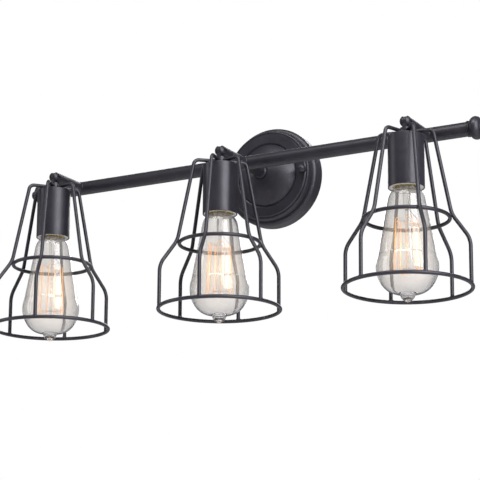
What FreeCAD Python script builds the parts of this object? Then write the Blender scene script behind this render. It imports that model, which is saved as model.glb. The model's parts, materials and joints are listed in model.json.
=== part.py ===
import FreeCAD, Part
import math
import os
import Sketcher

from FreeCAD import Placement, Rotation, Vector

# Vanity light bar: a wall canopy, a stem, one straight bar, three arms with tilting cage heads.
# Frame: +X right along the bar (facing the wall), +Y into the wall, +Z up. The wall face is y = 0,
# and the origin is the canopy's centre on it. Lengths are millimetres, angles are degrees.

SIZES = [
    # name, value, what it is
    ("bar_out", 79.5, "wall face to the bar's axis"),
    ("arm_reach", 56.3, "bar's axis to a head's pivot"),
    ("light_pitch", 221.6, "distance between neighbouring heads"),
    ("bar_half", 269.0, "half the bar tube's length"),
    ("bar_radius", 7.95, "bar tube, outside"),
    ("tube_wall", 1.2, "wall of the bar and arm tubes"),
    ("arm_radius", 6.35, "arm tube and knuckle, outside"),
    ("braze_gap", 0.02, "gap left between two coped tubes"),
    ("seat_gap", 0.05, "radial gap of a part that plugs into another"),
    ("thread_gap", 0.03, "radial gap of a screw in its thread"),
    ("canopy_radius", 58.7, "canopy at the wall"),
    ("canopy_wall", 1.0, "canopy sheet"),
    ("canopy_depth", 41.0, "wall face to the canopy's centre flat"),
    ("canopy_flat", 9.5, "flat at the canopy's centre"),
    ("band_out", 26.0, "wall face to the canopy's flat band"),
    ("dome_radius", 36.0, "edge of the canopy's centre dome"),
    ("crossbar_length", 107.0, "crossbar behind the canopy"),
    ("crossbar_width", 15.0, "crossbar, across"),
    ("crossbar_thick", 2.0, "crossbar sheet"),
    ("box_slot_half", 34.925, "half the electrical box's screw spacing"),
    ("box_slot_length", 12.0, "crossbar slot, end to end"),
    ("box_slot_radius", 2.4, "crossbar slot, half its width"),
    ("stud_half", 48.0, "half the spacing of the canopy studs"),
    ("stud_radius", 2.08, "canopy stud"),
    ("stud_length", 30.0, "canopy stud, from the wall face"),
    ("ball_radius", 4.9, "ball of a cap nut"),
    ("ball_out", 32.2, "wall face to a cap nut's ball centre"),
    ("cap_seat_out", 26.05, "wall face to a cap nut's seat on the canopy"),
    ("cap_neck_radius", 3.4, "neck of a cap nut"),
    ("ground_side", 19.9, "ground screw, left of the centre"),
    ("ground_radius", 1.6, "ground screw shank"),
    ("ground_head_radius", 3.4, "ground screw head"),
    ("ground_wire_radius", 0.8, "bare ground wire"),
    ("stem_foot_radius", 7.2, "foot of the stem on the canopy"),
    ("nipple_radius", 4.8, "threaded nipple, outside"),
    ("nipple_bore", 3.4, "threaded nipple and knuckle wire way"),
    ("nipple_back", 22.0, "wall face to the nipple's inner end"),
    ("nipple_front", 58.0, "wall face to the nipple's outer end"),
    ("nut_flats", 14.0, "hexagon nuts, across the flats"),
    ("nut_thick", 4.0, "hexagon nuts"),
    ("knuckle_back", 12.0, "pivot back to the arm tube's end"),
    ("spigot_length", 8.0, "knuckle's spigot inside the arm tube"),
    ("slot_width", 5.6, "knuckle slot"),
    ("slot_back", 6.2, "pivot back to the slot's floor"),
    ("tongue_thick", 5.0, "tongue inside the slot"),
    ("tongue_radius", 5.2, "rounded end of the tongue"),
    ("pivot_radius", 1.5, "pivot screw shank"),
    ("pivot_gap", 0.06, "radial gap of the tongue on the pivot screw"),
    ("screw_head_radius", 3.0, "pivot screw head"),
    ("screw_head_inner", 4.2, "pivot to the underside of the screw head"),
    ("screw_head_outer", 5.6, "pivot to the face of the screw head"),
    ("neck_top", 7.6, "pivot down to the neck flange's top"),
    ("flange_radius", 6.0, "neck flange"),
    ("collar_top", 9.2, "pivot down to the cage collar's top"),
    ("collar_radius", 7.0, "cage collar"),
    ("neck_bore", 2.4, "wire way through the neck"),
    ("neck_bottom", 27.0, "pivot down to the neck thread's end"),
    ("cup_top", 16.0, "pivot down to the cup's top face"),
    ("cup_bottom", 73.0, "pivot down to the cup's mouth"),
    ("cup_radius", 19.1, "socket cup, outside"),
    ("cup_wall", 0.9, "socket cup sheet"),
    ("cup_bevel", 0.8, "rounding of the cup's top edge"),
    ("socket_radius", 17.8, "insulating socket body, outside"),
    ("socket_mouth", 14.1, "insulating socket body, inside"),
    ("socket_boss", 8.0, "threaded boss on top of the socket body"),
    ("socket_top", 21.0, "pivot down to the boss's top"),
    ("socket_floor", 42.0, "pivot down to the floor of the socket"),
    ("shell_radius", 13.4, "brass screw shell, smallest inside radius"),
    ("shell_wall", 0.3, "brass screw shell sheet"),
    ("rib_height", 0.3, "height of the rolled thread ribs"),
    ("rib_pitch", 3.63, "pitch of the rolled thread, 7 to the inch"),
    ("wire_radius", 2.05, "cage wire"),
    ("wire_down", 12.1, "pivot down to the wires at the collar"),
    ("cage_knee_radius", 29.0, "radius where the wires turn down"),
    ("mid_hoop_radius", 44.1, "middle hoop's centreline"),
    ("mid_hoop_down", 106.0, "pivot down to the middle hoop"),
    ("rim_hoop_radius", 66.0, "bottom hoop's centreline"),
    ("rim_hoop_down", 178.9, "pivot down to the bottom hoop"),
    ("shoulder_down", 132.4, "pivot down to the cage's shoulder"),
    ("cap_radius", 13.0, "lamp cap over its ribs"),
    ("cap_bottom", 72.2, "pivot down to the lamp cap's open end"),
    ("glass_radius", 32.2, "lamp glass, widest"),
    ("glass_tip", 194.0, "pivot down to the lamp's tip"),
    ("glass_wall", 0.8, "lamp glass"),
    ("filament_upper", 12.0, "ring of filament legs at the top"),
    ("filament_lower", 14.3, "ring of filament legs at the bottom"),
    ("filament_top", 106.0, "pivot down to the filament's top"),
    ("filament_bottom", 162.0, "pivot down to the filament's bottom"),
    ("filament_wire", 0.3, "filament wire"),
    ("support_wire", 0.2, "filament support wire"),
    ("rod_radius", 1.5, "glass rod inside the lamp"),
    ("lead_radius", 0.85, "insulated lead"),
    ("lead_spread", 2.1, "centre to a left or right head's leads inside the stem"),
    ("connector_out", 9.0, "wall face to the wire connectors' axis"),
    ("connector_mouth", 16.0, "centre up or down to a wire connector's mouth"),
    ("lean_left", 0.3, "left head, forward of plumb"),
    ("lean_mid", 0.6, "middle head, forward of plumb"),
    ("lean_right", 1.7, "right head, forward of plumb"),
    ("turn_left", 50.1, "left cage, first wire from +X towards the wall"),
    ("turn_mid", 40.6, "middle cage, first wire from +X towards the wall"),
    ("turn_right", 8.6, "right cage, first wire from +X towards the wall"),
]
WIRE_COUNT = 6
FILAMENT_LEGS = 10
SIDES = {"left": -1, "mid": 0, "right": 1}


class Size:
    """A value together with the sheet expression that gives it, so code and bindings agree."""

    def __init__(self, value, text):
        self.value = float(value)
        self.text = text

    def __float__(self):
        return self.value

    def __add__(self, other):
        other = as_size(other)
        return Size(self.value + other.value, f"({self.text} + {other.text})")

    def __sub__(self, other):
        other = as_size(other)
        return Size(self.value - other.value, f"({self.text} - {other.text})")

    def __mul__(self, other):
        other = as_size(other)
        return Size(self.value * other.value, f"({self.text} * {other.text})")

    def __rsub__(self, other):
        return as_size(other) - self

    def __neg__(self):
        return self * -1

    __radd__ = __add__
    __rmul__ = __mul__


def as_size(number):
    if isinstance(number, Size):
        return number
    return Size(number, f"({float(number):.6f})")


doc = FreeCAD.newDocument("vanity_light_bar")
sheet = doc.addObject("Spreadsheet::Sheet", "sizes")
NODES = []


def fill_sheet():
    """Writes the driving dimensions and returns them as Size objects by name."""
    found = {}
    for row, (name, value, note) in enumerate(SIZES, start=1):
        sheet.set(f"A{row}", name)
        sheet.set(f"B{row}", str(value))
        sheet.set(f"C{row}", note)
        sheet.setAlias(f"B{row}", name)
        found[name] = Size(value, f"sizes.{name}")
    doc.recompute()
    return found


S = fill_sheet()
PIVOT_OUT = S["bar_out"] + S["arm_reach"]
OUT_OF_WALL = Rotation(Vector(1, 0, 0), 90)
ALONG_BAR = Rotation(Vector(0, 1, 0), 90)
AGAINST_BAR = Rotation(Vector(0, 1, 0), -90)
UPRIGHT = Rotation()


# ------------------------------------------------------------------ document helpers


def bind(thing, prop, size):
    thing.setExpression(prop, as_size(size).text)


def place(thing, at, turn=UPRIGHT):
    """Puts thing at a point given by sizes, turned by a fixed rotation."""
    thing.Placement = Placement(Vector(*[float(value) for value in at]), turn)
    for axis, value in zip("xyz", at):
        if isinstance(value, Size):
            bind(thing, f"Placement.Base.{axis}", value)
    return thing


def name_node(thing, label):
    thing.Label = label
    NODES.append(thing)
    return thing


def head_x(side):
    return S["light_pitch"] * SIDES[side]


def hang(thing, side):
    """Hangs a head's piece: its own frame has the pivot at the origin, z down and y out of the wall."""
    base = f"vector({head_x(side).text}; {(-PIVOT_OUT).text}; 0)"
    turn = f"rotation(vector(1; 0; 0); 180 - {S['lean_' + side].text})"
    thing.setExpression("Placement", f"placement({base}; {turn})")
    return thing


def cylinder(name, radius, length, at=(0, 0, 0), turn=UPRIGHT):
    thing = doc.addObject("Part::Cylinder", name)
    bind(thing, "Radius", radius)
    bind(thing, "Height", length)
    return place(thing, at, turn)


def sphere(name, radius, at=(0, 0, 0)):
    thing = doc.addObject("Part::Sphere", name)
    bind(thing, "Radius", radius)
    return place(thing, at)


def box(name, low, size):
    thing = doc.addObject("Part::Box", name)
    for prop, value in zip(("Length", "Width", "Height"), size):
        bind(thing, prop, value)
    return place(thing, low)


def torus(name, ring, tube, at):
    thing = doc.addObject("Part::Torus", name)
    bind(thing, "Radius1", ring)
    bind(thing, "Radius2", tube)
    return place(thing, at)


def fuse(name, things):
    thing = doc.addObject("Part::MultiFuse", name)
    thing.Shapes = things
    return thing


def cut(name, base, tools):
    thing = doc.addObject("Part::Cut", name)
    thing.Base = base
    thing.Tool = tools[0] if len(tools) == 1 else fuse(name + "_tools", tools)
    return thing


def from_shape(name, shape):
    thing = doc.addObject("Part::Feature", name)
    thing.Shape = shape
    return thing


def new_sketch(body, name, role):
    sketch = body.newObject("Sketcher::SketchObject", name)
    plane = [part for part in body.Origin.OriginFeatures if part.Role == role][0]
    sketch.AttachmentSupport = (plane, [""])
    sketch.MapMode = "FlatFace"
    return sketch


def pin_point(sketch, geometry, corner, point):
    """Ties one sketch point to the sizes by its distances from the sketch's origin."""
    rules = (("DistanceX", point[0], -2), ("DistanceY", point[1], -1))
    for kind, size, line in rules:
        size = as_size(size)
        if abs(size.value) < 1e-9:
            sketch.addConstraint(Sketcher.Constraint("PointOnObject", geometry, corner, line))
            continue
        ends = (-1, 1, geometry, corner)
        if size.value < 0:
            ends = (geometry, corner, -1, 1)
            size = -size
        index = sketch.addConstraint(Sketcher.Constraint(kind, *ends, size.value))
        bind(sketch, f"Constraints[{index}]", size)


def draw_polygon(sketch, points):
    """Closed outline of straight lines through points given by sizes."""
    flat = [Vector(float(x), float(y), 0) for x, y in points]
    first = sketch.GeometryCount
    count = len(points)
    for index in range(count):
        sketch.addGeometry(Part.LineSegment(flat[index], flat[(index + 1) % count]), False)
    for index in range(count):
        following = first + (index + 1) % count
        sketch.addConstraint(Sketcher.Constraint("Coincident", first + index, 2, following, 1))
    for index in range(count):
        pin_point(sketch, first + index, 1, points[index])


def draw_circle(sketch, radius, centre=(0, 0)):
    middle = Vector(float(centre[0]), float(centre[1]), 0)
    circle = Part.Circle(middle, Vector(0, 0, 1), float(radius))
    geometry = sketch.addGeometry(circle, False)
    index = sketch.addConstraint(Sketcher.Constraint("Radius", geometry, float(radius)))
    bind(sketch, f"Constraints[{index}]", radius)
    if float(centre[0]) == 0 and float(centre[1]) == 0:
        sketch.addConstraint(Sketcher.Constraint("Coincident", geometry, 3, -1, 1))
    else:
        pin_point(sketch, geometry, 3, centre)


def turned_body(name, outline):
    """Lathe-turned body about z from a closed outline of (radius, z) points."""
    body = doc.addObject("PartDesign::Body", name)
    sketch = new_sketch(body, name + "_outline", "XZ_Plane")
    draw_polygon(sketch, outline)
    turn = body.newObject("PartDesign::Revolution", name + "_turned")
    turn.Profile = sketch
    turn.ReferenceAxis = (sketch, ["V_Axis"])
    turn.Angle = 360
    sketch.Visibility = False
    return body


def padded_body(name, draw, thickness):
    """Body padded up from its XY plane by thickness, from what draw puts in the sketch."""
    body = doc.addObject("PartDesign::Body", name)
    sketch = new_sketch(body, name + "_outline", "XY_Plane")
    draw(sketch)
    pad = body.newObject("PartDesign::Pad", name + "_pad")
    pad.Profile = sketch
    bind(pad, "Length", thickness)
    sketch.Visibility = False
    return body


def pocket(body, name, draw, depth):
    """Pocket upwards from the body's XY plane."""
    sketch = new_sketch(body, name + "_outline", "XY_Plane")
    draw(sketch)
    feature = body.newObject("PartDesign::Pocket", name)
    feature.Profile = sketch
    feature.Reversed = True
    bind(feature, "Length", depth)
    sketch.Visibility = False


def hexagon_nut(name, bore, flats, thickness):
    """Hexagon nut standing on its XY plane."""
    corner = flats * (1 / math.sqrt(3))

    def hexagon(sketch):
        turns = [math.radians(60 * step) for step in range(6)]
        draw_polygon(sketch, [(corner * math.cos(a), corner * math.sin(a)) for a in turns])

    body = padded_body(name, hexagon, thickness)
    pocket(body, name + "_bore", lambda sketch: draw_circle(sketch, bore), thickness)
    return body


# ------------------------------------------------------------------ outline and path helpers


def outline_edges(start, steps):
    """Edges in the XZ plane from start. A step is [end] for a line or [through, end] for an arc."""
    here = Vector(start[0], 0, start[1])
    edges = []
    for step in steps:
        points = [Vector(radius, 0, height) for radius, height in step]
        if len(points) == 1:
            edges.append(Part.LineSegment(here, points[0]).toShape())
        else:
            edges.append(Part.Arc(here, *points).toShape())
        here = points[-1]
    return edges


def revolve(edges):
    """Solid turned about z from edges that close a face in the XZ plane."""
    wire = Part.Wire(Part.sortEdges(edges)[0])
    return Part.Face(wire).revolve(Vector(0, 0, 0), Vector(0, 0, 1), 360)


def shell_of(outline, thickness):
    """Turned sheet: outline(shift) gives the start and steps of the surface shifted in by shift."""
    outer = outline_edges(*outline(0))
    inner = outline_edges(*outline(thickness))
    ends = [(edges[0].firstVertex(), edges[-1].lastVertex()) for edges in (outer, inner)]
    joins = []
    for index in (0, 1):
        pair = [end[index].Point for end in ends]
        joins.append(Part.LineSegment(*pair).toShape())
    return revolve(outer + inner + joins)


def rounded_path(points, radius):
    """Wire of straight runs joined by tangent arcs. radius is one value or one for each corner."""
    corners = len(points) - 2
    radii = radius if isinstance(radius, list) else [radius] * corners
    here = points[0]
    edges = []
    for index in range(1, len(points) - 1):
        corner = points[index]
        back = (points[index - 1] - corner).normalize()
        ahead = (points[index + 1] - corner).normalize()
        half = back.getAngle(ahead) / 2
        bend = radii[index - 1]
        begin = corner + back * (bend / math.tan(half))
        end = corner + ahead * (bend / math.tan(half))
        inward = (back + ahead).normalize()
        middle = corner + inward * (bend / math.sin(half) - bend)
        edges.append(Part.LineSegment(here, begin).toShape())
        edges.append(Part.Arc(begin, middle, end).toShape())
        here = end
    edges.append(Part.LineSegment(here, points[-1]).toShape())
    return Part.Wire(edges)


def round_wire(points, bend, radius):
    """Solid round wire of the given radius along a rounded path."""
    path = rounded_path(points, bend)
    ring = Part.Circle(points[0], (points[1] - points[0]).normalize(), radius).toShape()
    return path.makePipeShell([Part.Wire([ring])], True, False)


def rib_steps(radius, first, last):
    """Arc steps of rolled thread ribs that bulge inwards from radius by rib_height."""
    pitch = float(S["rib_pitch"])
    height = float(S["rib_height"])
    count = int((last - first) / pitch)
    steps = []
    for index in range(count):
        low = first + index * pitch
        steps.append([(radius - height, low + pitch * 0.3), (radius, low + pitch * 0.6)])
        steps.append([(radius, low + pitch)])
    steps.append([(radius, last)])
    return steps


# ------------------------------------------------------------------ canopy and its fixings


def canopy_outline(shift):
    """Stepped dish from its centre hole out to the wall: flat, dome, band, two beads, rolled rim."""
    hole = float(S["nipple_radius"] + S["seat_gap"])
    depth = float(S["canopy_depth"]) - shift
    flat = float(S["canopy_flat"]) - shift
    band = float(S["band_out"]) - shift
    dome = float(S["dome_radius"]) - shift
    rim = float(S["canopy_radius"]) - shift
    middle = (flat + dome) / 2
    start = (hole, depth)
    steps = [
        [(flat, depth)],
        [(middle, (depth + band) / 2 + 2.6), (dome, band + 0.6)],
        [(dome + 1.1, band - 1.2)],
        [(dome + 2.4, band - 0.2), (dome + 4.0, band)],
        [(rim - 9.6, band)],
        [(rim - 8.4, band - 1.6)],
        [(rim - 6.8, band - 1.3), (rim - 5.6, band - 3.4)],
        [(rim - 4.9, band - 8.4)],
        [(rim - 2.0, band - 9.4), (rim, band - 12.6)],
        [(rim, 0)],
    ]
    return start, steps


def make_canopy():
    dish = from_shape("canopy_dish", shell_of(canopy_outline, float(S["canopy_wall"])))
    place(dish, (0, 0, 0), OUT_OF_WALL)
    holes = []
    for sign in (-1, 1):
        at = (S["stud_half"] * sign, 0, 0)
        radius = S["stud_radius"] + S["seat_gap"] * 5
        holes.append(cylinder("canopy_hole", radius, S["canopy_depth"], at, OUT_OF_WALL))
    name_node(cut("canopy_cut", dish, holes), "canopy")


def make_crossbar():
    """Flat strip on the wall box, with two slots for the box screws and tapped holes for the studs."""
    half_length = S["crossbar_length"] * 0.5
    half_width = S["crossbar_width"] * 0.5
    slot_reach = S["box_slot_length"] * 0.5
    corners = [(-1, -1), (1, -1), (1, 1), (-1, 1)]

    def strip(sketch):
        draw_polygon(sketch, [(half_length * x, half_width * y) for x, y in corners])

    def round_holes(sketch):
        draw_circle(sketch, S["nipple_radius"] + S["seat_gap"])
        for sign in (-1, 1):
            draw_circle(sketch, S["stud_radius"] + S["thread_gap"], (S["stud_half"] * sign, 0))
        draw_circle(sketch, S["ground_radius"] + S["thread_gap"], (-S["ground_side"], 0))

    body = padded_body("crossbar_body", strip, S["crossbar_thick"])
    pocket(body, "crossbar_holes", round_holes, S["crossbar_thick"])
    place(body, (0, 0, 0), OUT_OF_WALL)
    slots = []
    for sign in (-1, 1):
        centre = S["box_slot_half"] * sign
        straight = slot_reach - S["box_slot_radius"]
        low = (centre - straight, -S["crossbar_thick"], -S["box_slot_radius"])
        size = (straight * 2, S["crossbar_thick"], S["box_slot_radius"] * 2)
        slots.append(box("slot_middle", low, size))
        for end in (-1, 1):
            at = (centre + straight * end, 0, 0)
            slots.append(cylinder("slot_end", S["box_slot_radius"], S["crossbar_thick"], at, OUT_OF_WALL))
    name_node(cut("crossbar_cut", body, slots), "crossbar")


def make_studs_and_cap_nuts():
    """Two studs tapped into the crossbar, and the ball cap nuts that hold the canopy on them."""
    studs = []
    nuts = []
    seat_out = S["cap_seat_out"]
    bore = S["stud_radius"] + S["thread_gap"]
    for sign in (-1, 1):
        x = S["stud_half"] * sign
        studs.append(cylinder("stud", S["stud_radius"], S["stud_length"], (x, 0, 0), OUT_OF_WALL))
        ball = sphere("cap_ball", S["ball_radius"], (x, -S["ball_out"], 0))
        neck_length = S["ball_out"] - seat_out
        neck = cylinder("cap_neck", S["cap_neck_radius"], neck_length, (x, -seat_out, 0), OUT_OF_WALL)
        hole_length = S["stud_length"] - seat_out + 1
        hole = cylinder("cap_bore", bore, hole_length, (x, -seat_out, 0), OUT_OF_WALL)
        nuts.append(cut("cap_nut", fuse("cap_whole", [ball, neck]), [hole]))
    for things, label in ((studs, "canopy_studs"), (nuts, "cap_nuts")):
        group = doc.addObject("Part::Compound", label + "_group")
        group.Links = things
        name_node(group, label)


def make_stem():
    """Stem from the canopy to the bar, its threaded nipple and the lock nut inside the canopy."""
    bore = S["nipple_radius"] + S["seat_gap"]
    base = S["canopy_depth"]
    radius = S["arm_radius"]
    foot = S["stem_foot_radius"]
    outline = [
        (bore, base),
        (foot, base),
        (foot, base + 1.0),
        (radius, base + 2.0),
        (radius, S["bar_out"]),
        (bore, S["bar_out"]),
    ]
    stem = place(turned_body("stem_body", outline), (0, 0, 0), OUT_OF_WALL)
    name_node(cut("stem_coped", stem, [bar_clearance()]), "stem_tube")

    back = S["nipple_back"]
    front = S["nipple_front"]
    walls = [(S["nipple_bore"], back), (S["nipple_radius"], back)]
    walls += [(S["nipple_radius"], front), (S["nipple_bore"], front)]
    nipple = place(turned_body("nipple_body", walls), (0, 0, 0), OUT_OF_WALL)
    name_node(nipple, "stem_nipple")

    nut = hexagon_nut("lock_nut_body", bore, S["nut_flats"], S["nut_thick"])
    place(nut, (0, S["canopy_wall"] + S["nut_thick"] - base, 0), OUT_OF_WALL)
    name_node(nut, "stem_lock_nut")


def bar_clearance():
    """Cylinder round the bar that copes the tubes brazed to it."""
    radius = S["bar_radius"] + S["braze_gap"]
    length = S["light_pitch"] * 3
    return cylinder("bar_clearance", radius, length, (length * -0.5, -S["bar_out"], 0), ALONG_BAR)


def make_ground_screw():
    """Green ground screw in the crossbar, with the bare ground wire under its head."""
    x = -S["ground_side"]
    under_head = S["crossbar_thick"] + S["ground_wire_radius"] * 3
    shank = cylinder("ground_shank", S["ground_radius"], under_head, (x, 0, 0), OUT_OF_WALL)
    head = cylinder("ground_head", S["ground_head_radius"], 2.0, (x, -under_head, 0), OUT_OF_WALL)
    name_node(fuse("ground_screw_whole", [shank, head]), "ground_screw")

    wire_radius = float(S["ground_wire_radius"])
    shank_side = float(x - S["ground_radius"]) - wire_radius - 0.2
    out = float(S["crossbar_thick"]) + wire_radius * 1.5
    nut_side = -float(S["nut_flats"]) / math.sqrt(3) - 0.1
    nut_face = float(S["canopy_depth"] - S["canopy_wall"] - S["nut_thick"])
    points = [
        Vector(nut_side, -nut_face - wire_radius / 2, 0),
        Vector(shank_side - 3.4, -float(S["band_out"]), 0),
        Vector(shank_side - 3.4, -out, 0),
        Vector(shank_side, -out, 0),
    ]
    wire = from_shape("ground_wire", round_wire(points, [3.0, 1.6], wire_radius))
    name_node(wire, "ground_lead")


# ------------------------------------------------------------------ bar, arms and knuckles


def make_bar():
    """Straight tube with a wire hole at the stem and at each arm."""
    start = (-S["bar_half"], -S["bar_out"], 0)
    length = S["bar_half"] * 2
    outside = cylinder("bar_outside", S["bar_radius"], length, start, ALONG_BAR)
    bore = S["bar_radius"] - S["tube_wall"]
    tools = [cylinder("bar_inside", bore, length, start, ALONG_BAR)]
    reach = S["bar_radius"] + 1
    stem_hole = (0, -S["bar_out"] + reach, 0)
    tools.append(cylinder("stem_wire_hole", S["nipple_bore"] + 0.3, reach, stem_hole, OUT_OF_WALL))
    for side in SIDES:
        at = (head_x(side), -S["bar_out"], 0)
        tools.append(cylinder("arm_wire_hole", S["nipple_bore"] + 0.3, reach, at, OUT_OF_WALL))
    name_node(cut("bar_drilled", outside, tools), "bar_tube")


def finial_solid():
    """Turned end piece about z: spigot, collar, cove, round bead and a small rounded end button."""
    spigot = float(S["bar_radius"] - S["tube_wall"] - S["seat_gap"])
    collar = float(S["bar_radius"]) + 0.85
    bead = collar + 3.85
    steps = [
        [(spigot, -10.0)],
        [(spigot, 0.0)],
        [(collar, 0.0)],
        [(collar, 1.9)],
        [(collar - 1.1, 2.4), (collar - 0.7, 3.4)],
        [(bead, 9.2), (collar - 0.6, 15.4)],
        [(collar - 3.2, 16.2), (collar - 3.9, 18.0)],
        [(collar - 3.3, 19.9), (collar - 5.0, 22.2)],
        [(collar - 6.6, 22.9), (0.8, 23.1)],
        [(0.0, 23.1)],
        [(0.0, -10.0)],
    ]
    return revolve(outline_edges((0.0, -10.0), steps))


def make_finials():
    for label, sign, turn in (("finial_left", -1, AGAINST_BAR), ("finial_right", 1, ALONG_BAR)):
        finial = from_shape(label + "_turned", finial_solid())
        place(finial, (S["bar_half"] * sign, -S["bar_out"], 0), turn)
        name_node(finial, label)


def make_arm(side):
    """Arm tube from the bar out to the knuckle, coped round the bar."""
    start = (head_x(side), -S["bar_out"], 0)
    length = S["arm_reach"] - S["knuckle_back"]
    outside = cylinder("arm_outside", S["arm_radius"], length, start, OUT_OF_WALL)
    bore = S["arm_radius"] - S["tube_wall"]
    inside = cylinder("arm_inside", bore, length, start, OUT_OF_WALL)
    name_node(cut("arm_coped", outside, [inside, bar_clearance()]), "arm_" + side)


def make_knuckle(side):
    """Round-ended fork: a vertical slot through it, a wire way behind, and the pivot's holes."""
    x = head_x(side)
    y = -PIVOT_OUT
    back = S["knuckle_back"]
    spigot = S["arm_radius"] - S["tube_wall"] - S["seat_gap"]
    shaft = cylinder("knuckle_shaft", S["arm_radius"], back, (x, y + back, 0), OUT_OF_WALL)
    nose = sphere("knuckle_nose", S["arm_radius"], (x, y, 0))
    plug_at = (x, y + back + S["spigot_length"], 0)
    plug = cylinder("knuckle_plug", spigot, S["spigot_length"] + 1, plug_at, OUT_OF_WALL)
    whole = fuse("knuckle_whole", [shaft, nose, plug])

    reach = S["arm_radius"] + 1
    low = (x - S["slot_width"] * 0.5, y - reach, -reach)
    slot = box("knuckle_slot", low, (S["slot_width"], reach + S["slot_back"], reach * 2))
    way = cylinder("knuckle_wire_way", S["nipple_bore"], back + S["spigot_length"], plug_at, OUT_OF_WALL)
    hole_radius = S["pivot_radius"] + S["thread_gap"]
    hole = cylinder("pivot_hole", hole_radius, reach * 2, (x - reach, y, 0), ALONG_BAR)
    sink_at = (x + S["screw_head_inner"], y, 0)
    sink = cylinder("head_sink", S["screw_head_radius"] + S["seat_gap"], 4.0, sink_at, ALONG_BAR)
    name_node(cut("knuckle_cut", whole, [slot, way, hole, sink]), "knuckle_" + side)


def make_pivot_screws():
    """One slotted screw for each knuckle, its head let into the right-hand cheek."""
    screws = []
    for side in SIDES:
        x = head_x(side)
        y = -PIVOT_OUT
        left = S["arm_radius"] - 0.9
        length = left + S["screw_head_inner"]
        shank = cylinder("pivot_shank", S["pivot_radius"], length, (x - left, y, 0), ALONG_BAR)
        head_at = (x + S["screw_head_inner"], y, 0)
        head_thick = S["screw_head_outer"] - S["screw_head_inner"]
        head = cylinder("pivot_head", S["screw_head_radius"], head_thick, head_at, ALONG_BAR)
        slot_low = (x + S["screw_head_outer"] - 0.6, y - 4, -0.4)
        slot = box("driver_slot", slot_low, (1, 8, 0.8))
        screws.append(cut("pivot_screw", fuse("pivot_whole", [shank, head]), [slot]))
    group = doc.addObject("Part::Compound", "pivot_screws_group")
    group.Links = screws
    name_node(group, "pivot_screws")


# ------------------------------------------------------------------ wiring in the fixed parts


def make_supply_leads():
    """A pair of leads to each head: wire connector, nipple, stem, bar, arm, up to the knuckle slot."""
    bend = 4.0
    back = -float(S["connector_out"])
    inside_connector = float(S["connector_mouth"]) + 10.0
    bar_y = -float(S["bar_out"])
    arm_end = -float(PIVOT_OUT - S["slot_back"]) + 1.5
    wires = []
    for side, sign in SIDES.items():
        across = float(S["lead_spread"]) * sign
        aside = 1.2 if sign else 2.4
        for up in (-1, 1):
            z = aside * up
            points = [Vector(across, back, inside_connector * up), Vector(across, back, z)]
            if sign:
                x = float(head_x(side))
                points += [Vector(across, bar_y, z), Vector(x, bar_y, z), Vector(x, arm_end, z)]
            else:
                points.append(Vector(across, arm_end, z))
            wires.append(round_wire(points, bend, float(S["lead_radius"])))
    name_node(from_shape("supply_wires", Part.makeCompound(wires)), "supply_leads")


def make_wire_connectors():
    """Two twist-on connectors inside the canopy, one above and one below the nipple."""
    mouth = float(S["connector_mouth"])
    bore = float(S["lead_spread"] + S["lead_radius"] + S["seat_gap"])
    caps = []
    for up in (-1, 1):
        steps = [[(5.6, mouth)], [(5.0, mouth + 7)], [(4.2, mouth + 17)]]
        steps += [[(3.4, mouth + 19.4), (0.8, mouth + 20)], [(0, mouth + 20)], [(0, mouth + 11)]]
        steps += [[(bore, mouth + 11)], [(bore, mouth)]]
        cap = revolve(outline_edges((bore, mouth), steps))
        if up < 0:
            cap.rotate(Vector(0, 0, 0), Vector(1, 0, 0), 180)
        cap.translate(Vector(0, -float(S["connector_out"]), 0))
        caps.append(cap)
    name_node(from_shape("connector_caps", Part.makeCompound(caps)), "wire_connectors")


# ------------------------------------------------------------------ a head: neck, cage, socket


def make_neck(side):
    """Swivel neck: rounded tongue, flange and hollow thread, with a channel behind for the leads."""
    half = S["tongue_thick"] * 0.5
    disc = cylinder("tongue_disc", S["tongue_radius"], S["tongue_thick"], (-half, 0, 0), ALONG_BAR)
    waist = S["tongue_radius"] - 1
    root = box("tongue_root", (-half, -waist, 0), (S["tongue_thick"], waist * 2, S["neck_top"] + 0.5))
    flange_at = (0, 0, S["neck_top"])
    flange = cylinder("neck_flange", S["flange_radius"], S["collar_top"] - S["neck_top"], flange_at)
    thread_at = (0, 0, S["collar_top"] - 0.5)
    thread_length = S["neck_bottom"] - S["collar_top"] + 0.5
    thread = cylinder("neck_thread", S["nipple_radius"], thread_length, thread_at)
    whole = fuse("neck_whole", [disc, root, flange, thread])

    pivot_bore = S["pivot_radius"] + S["pivot_gap"]
    pivot = cylinder("tongue_bore", pivot_bore, S["tongue_thick"], (-half, 0, 0), ALONG_BAR)
    bore_from = S["neck_top"] + 0.4
    bore = cylinder("neck_way", S["neck_bore"], S["neck_bottom"] - bore_from, (0, 0, bore_from))
    channel_half = S["lead_radius"] + 0.45
    channel_low = (-channel_half, -waist - 0.5, waist)
    channel_size = (channel_half * 2, 2.6, S["collar_top"] - waist)
    channel = box("neck_channel", channel_low, channel_size)
    name_node(hang(cut("neck_cut", whole, [pivot, bore, channel]), side), "swivel_neck_" + side)

    nut = hexagon_nut("neck_nut_body", S["nipple_radius"] + S["seat_gap"], S["nut_flats"], S["nut_thick"])
    nut_top = S["cup_top"] + S["cup_wall"]
    carrier = doc.addObject("Part::Compound", "neck_nut_carrier")
    place(nut, (0, 0, nut_top))
    carrier.Links = [nut]
    name_node(hang(carrier, side), "neck_nut_" + side)


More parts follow.
